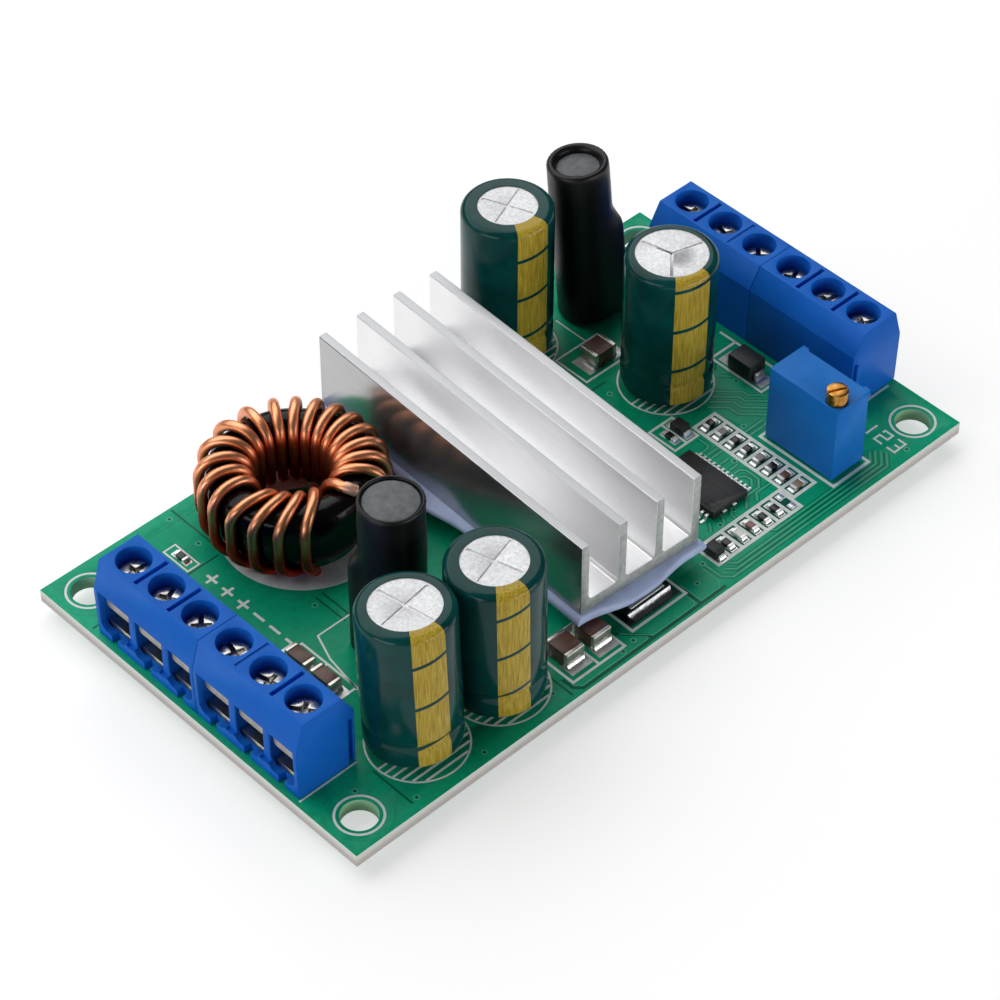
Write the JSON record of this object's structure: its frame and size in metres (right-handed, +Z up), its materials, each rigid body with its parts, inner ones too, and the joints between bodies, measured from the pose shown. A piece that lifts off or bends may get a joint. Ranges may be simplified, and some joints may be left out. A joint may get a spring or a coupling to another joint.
{
  "type": "buck-boost converter module",
  "caption": "Power converter board with screw-terminal rows, a finned heatsink on a soft pad, a toroid, rod inductors, electrolytic capacitors and a multi-turn trimmer.",
  "frame": {"origin": "centre of the four mounting holes, on the board's underside", "axes": "+X along the board towards the far terminal row, +Y across the board, +Z up out of the component side"},
  "size_m": [0.0872, 0.0484, 0.0239],
  "materials": {
    "solder_mask": "glossy green mask on glass fibre",
    "housing_plastic": "moulded satin blue",
    "nickel_plated_steel": "plated",
    "stainless_sheet": "stamped",
    "tinned_brass": "tinned",
    "extruded_aluminium": "extruded, sawn ends",
    "silicone_pad": "soft matte",
    "moulding_compound": "matte black",
    "tinned_copper": "tinned",
    "coated_iron_powder": "black epoxy coat",
    "enamelled_copper": "clear enamel",
    "ferrite": "ground",
    "shrink_tube": "satin black",
    "can_aluminium": "drawn",
    "printed_film": "glossy printed film",
    "bung_rubber": "matte",
    "tinned_steel": "tinned",
    "trimmer_plastic": "satin blue",
    "plain_brass": "turned",
    "ceramic_body": "fired",
    "resistor_body": "black glaze",
    "tin_plating": "tinned",
    "shunt_body": "dark coat",
    "solder": "bright"
  },
  "bodies": {
    "module": {"pcb": "solder_mask", "terminal_block_1": "housing_plastic", "terminal_block_2": "housing_plastic", "terminal_block_3": "housing_plastic", "terminal_block_4": "housing_plastic", "terminal_contacts": "tinned_brass", "heatsink": "extruded_aluminium", "thermal_pad": "silicone_pad", "power_transistors": "moulding_compound", "controller_body": "moulding_compound", "diodes": "moulding_compound", "transistor_leads": "tinned_copper", "controller_leads": "tinned_copper", "toroid_core": "coated_iron_powder", "toroid_winding": "enamelled_copper", "rod_windings": "enamelled_copper", "rod_cores": "ferrite", "rod_sleeve_1": "shrink_tube", "rod_sleeve_2": "shrink_tube", "capacitor_can_1": "can_aluminium", "capacitor_can_2": "can_aluminium", "capacitor_can_3": "can_aluminium", "capacitor_can_4": "can_aluminium", "capacitor_sleeve_1": "printed_film", "capacitor_sleeve_2": "printed_film", "capacitor_sleeve_3": "printed_film", "capacitor_sleeve_4": "printed_film", "capacitor_bungs": "bung_rubber", "component_leads": "tinned_steel", "trimmer_body": "trimmer_plastic", "ceramic_capacitors": "ceramic_body", "chip_resistors": "resistor_body", "chip_terminations": "tin_plating", "shunt_resistor": "shunt_body", "solder_joints": "solder"},
    "guard_01": {"wire_guard_01": "stainless_sheet"},
    "screw_01": {"terminal_screw_01": "nickel_plated_steel"},
    "guard_02": {"wire_guard_02": "stainless_sheet"},
    "screw_02": {"terminal_screw_02": "nickel_plated_steel"},
    "guard_03": {"wire_guard_03": "stainless_sheet"},
    "screw_03": {"terminal_screw_03": "nickel_plated_steel"},
    "guard_04": {"wire_guard_04": "stainless_sheet"},
    "screw_04": {"terminal_screw_04": "nickel_plated_steel"},
    "guard_05": {"wire_guard_05": "stainless_sheet"},
    "screw_05": {"terminal_screw_05": "nickel_plated_steel"},
    "guard_06": {"wire_guard_06": "stainless_sheet"},
    "screw_06": {"terminal_screw_06": "nickel_plated_steel"},
    "guard_07": {"wire_guard_07": "stainless_sheet"},
    "screw_07": {"terminal_screw_07": "nickel_plated_steel"},
    "guard_08": {"wire_guard_08": "stainless_sheet"},
    "screw_08": {"terminal_screw_08": "nickel_plated_steel"},
    "guard_09": {"wire_guard_09": "stainless_sheet"},
    "screw_09": {"terminal_screw_09": "nickel_plated_steel"},
    "guard_10": {"wire_guard_10": "stainless_sheet"},
    "screw_10": {"terminal_screw_10": "nickel_plated_steel"},
    "guard_11": {"wire_guard_11": "stainless_sheet"},
    "screw_11": {"terminal_screw_11": "nickel_plated_steel"},
    "guard_12": {"wire_guard_12": "stainless_sheet"},
    "screw_12": {"terminal_screw_12": "nickel_plated_steel"},
    "trimmer_adjuster": {"trimmer_screw": "plain_brass"}
  },
  "joints": [
    {"name": "guard_01_slide", "type": "slide", "parent": "module", "child": "guard_01", "axis": [0, 0, 1], "range_m": [-0.00205, 0]},
    {"name": "screw_01_turn", "type": "hinge", "parent": "guard_01", "child": "screw_01", "pos_m": [-0.0395, 0.0128, 0.0088], "axis": [0, 0, 1], "range_deg": [-1600, 0]},
    {"name": "guard_02_slide", "type": "slide", "parent": "module", "child": "guard_02", "axis": [0, 0, 1], "range_m": [-0.00205, 0]},
    {"name": "screw_02_turn", "type": "hinge", "parent": "guard_02", "child": "screw_02", "pos_m": [-0.0395, 0.00772, 0.0088], "axis": [0, 0, 1], "range_deg": [-1600, 0]},
    {"name": "guard_03_slide", "type": "slide", "parent": "module", "child": "guard_03", "axis": [0, 0, 1], "range_m": [-0.00205, 0]},
    {"name": "screw_03_turn", "type": "hinge", "parent": "guard_03", "child": "screw_03", "pos_m": [-0.0395, 0.00264, 0.0088], "axis": [0, 0, 1], "range_deg": [-1600, 0]},
    {"name": "guard_04_slide", "type": "slide", "parent": "module", "child": "guard_04", "axis": [0, 0, 1], "range_m": [-0.00205, 0]},
    {"name": "screw_04_turn", "type": "hinge", "parent": "guard_04", "child": "screw_04", "pos_m": [-0.0395, -0.00244, 0.0088], "axis": [0, 0, 1], "range_deg": [-1600, 0]},
    {"name": "guard_05_slide", "type": "slide", "parent": "module", "child": "guard_05", "axis": [0, 0, 1], "range_m": [-0.00205, 0]},
    {"name": "screw_05_turn", "type": "hinge", "parent": "guard_05", "child": "screw_05", "pos_m": [-0.0395, -0.00752, 0.0088], "axis": [0, 0, 1], "range_deg": [-1600, 0]},
    {"name": "guard_06_slide", "type": "slide", "parent": "module", "child": "guard_06", "axis": [0, 0, 1], "range_m": [-0.00205, 0]},
    {"name": "screw_06_turn", "type": "hinge", "parent": "guard_06", "child": "screw_06", "pos_m": [-0.0395, -0.0126, 0.0088], "axis": [0, 0, 1], "range_deg": [-1600, 0]},
    {"name": "guard_07_slide", "type": "slide", "parent": "module", "child": "guard_07", "axis": [0, 0, 1], "range_m": [-0.00205, 0]},
    {"name": "screw_07_turn", "type": "hinge", "parent": "guard_07", "child": "screw_07", "pos_m": [0.0403, -0.0121, 0.0088], "axis": [0, 0, 1], "range_deg": [-1600, 0]},
    {"name": "guard_08_slide", "type": "slide", "parent": "module", "child": "guard_08", "axis": [0, 0, 1], "range_m": [-0.00205, 0]},
    {"name": "screw_08_turn", "type": "hinge", "parent": "guard_08", "child": "screw_08", "pos_m": [0.0403, -0.00702, 0.0088], "axis": [0, 0, 1], "range_deg": [-1600, 0]},
    {"name": "guard_09_slide", "type": "slide", "parent": "module", "child": "guard_09", "axis": [0, 0, 1], "range_m": [-0.00205, 0]},
    {"name": "screw_09_turn", "type": "hinge", "parent": "guard_09", "child": "screw_09", "pos_m": [0.0403, -0.00194, 0.0088], "axis": [0, 0, 1], "range_deg": [-1600, 0]},
    {"name": "guard_10_slide", "type": "slide", "parent": "module", "child": "guard_10", "axis": [0, 0, 1], "range_m": [-0.00205, 0]},
    {"name": "screw_10_turn", "type": "hinge", "parent": "guard_10", "child": "screw_10", "pos_m": [0.0403, 0.00314, 0.0088], "axis": [0, 0, 1], "range_deg": [-1600, 0]},
    {"name": "guard_11_slide", "type": "slide", "parent": "module", "child": "guard_11", "axis": [0, 0, 1], "range_m": [-0.00205, 0]},
    {"name": "screw_11_turn", "type": "hinge", "parent": "guard_11", "child": "screw_11", "pos_m": [0.0403, 0.00822, 0.0088], "axis": [0, 0, 1], "range_deg": [-1600, 0]},
    {"name": "guard_12_slide", "type": "slide", "parent": "module", "child": "guard_12", "axis": [0, 0, 1], "range_m": [-0.00205, 0]},
    {"name": "screw_12_turn", "type": "hinge", "parent": "guard_12", "child": "screw_12", "pos_m": [0.0403, 0.0133, 0.0088], "axis": [0, 0, 1], "range_deg": [-1600, 0]},
    {"name": "trimmer_turn", "type": "hinge", "parent": "module", "child": "trimmer_adjuster", "pos_m": [0.02799, -0.01948, 0.0115], "axis": [0, 0, 1], "continuous": true}
  ],
  "couplings": [
    {"joint": "screw_01_turn", "follows": "guard_01_slide", "rad_per_m": 13622},
    {"joint": "screw_02_turn", "follows": "guard_02_slide", "rad_per_m": 13622},
    {"joint": "screw_03_turn", "follows": "guard_03_slide", "rad_per_m": 13622},
    {"joint": "screw_04_turn", "follows": "guard_04_slide", "rad_per_m": 13622},
    {"joint": "screw_05_turn", "follows": "guard_05_slide", "rad_per_m": 13622},
    {"joint": "screw_06_turn", "follows": "guard_06_slide", "rad_per_m": 13622},
    {"joint": "screw_07_turn", "follows": "guard_07_slide", "rad_per_m": 13622},
    {"joint": "screw_08_turn", "follows": "guard_08_slide", "rad_per_m": 13622},
    {"joint": "screw_09_turn", "follows": "guard_09_slide", "rad_per_m": 13622},
    {"joint": "screw_10_turn", "follows": "guard_10_slide", "rad_per_m": 13622},
    {"joint": "screw_11_turn", "follows": "guard_11_slide", "rad_per_m": 13622},
    {"joint": "screw_12_turn", "follows": "guard_12_slide", "rad_per_m": 13622}
  ]
}
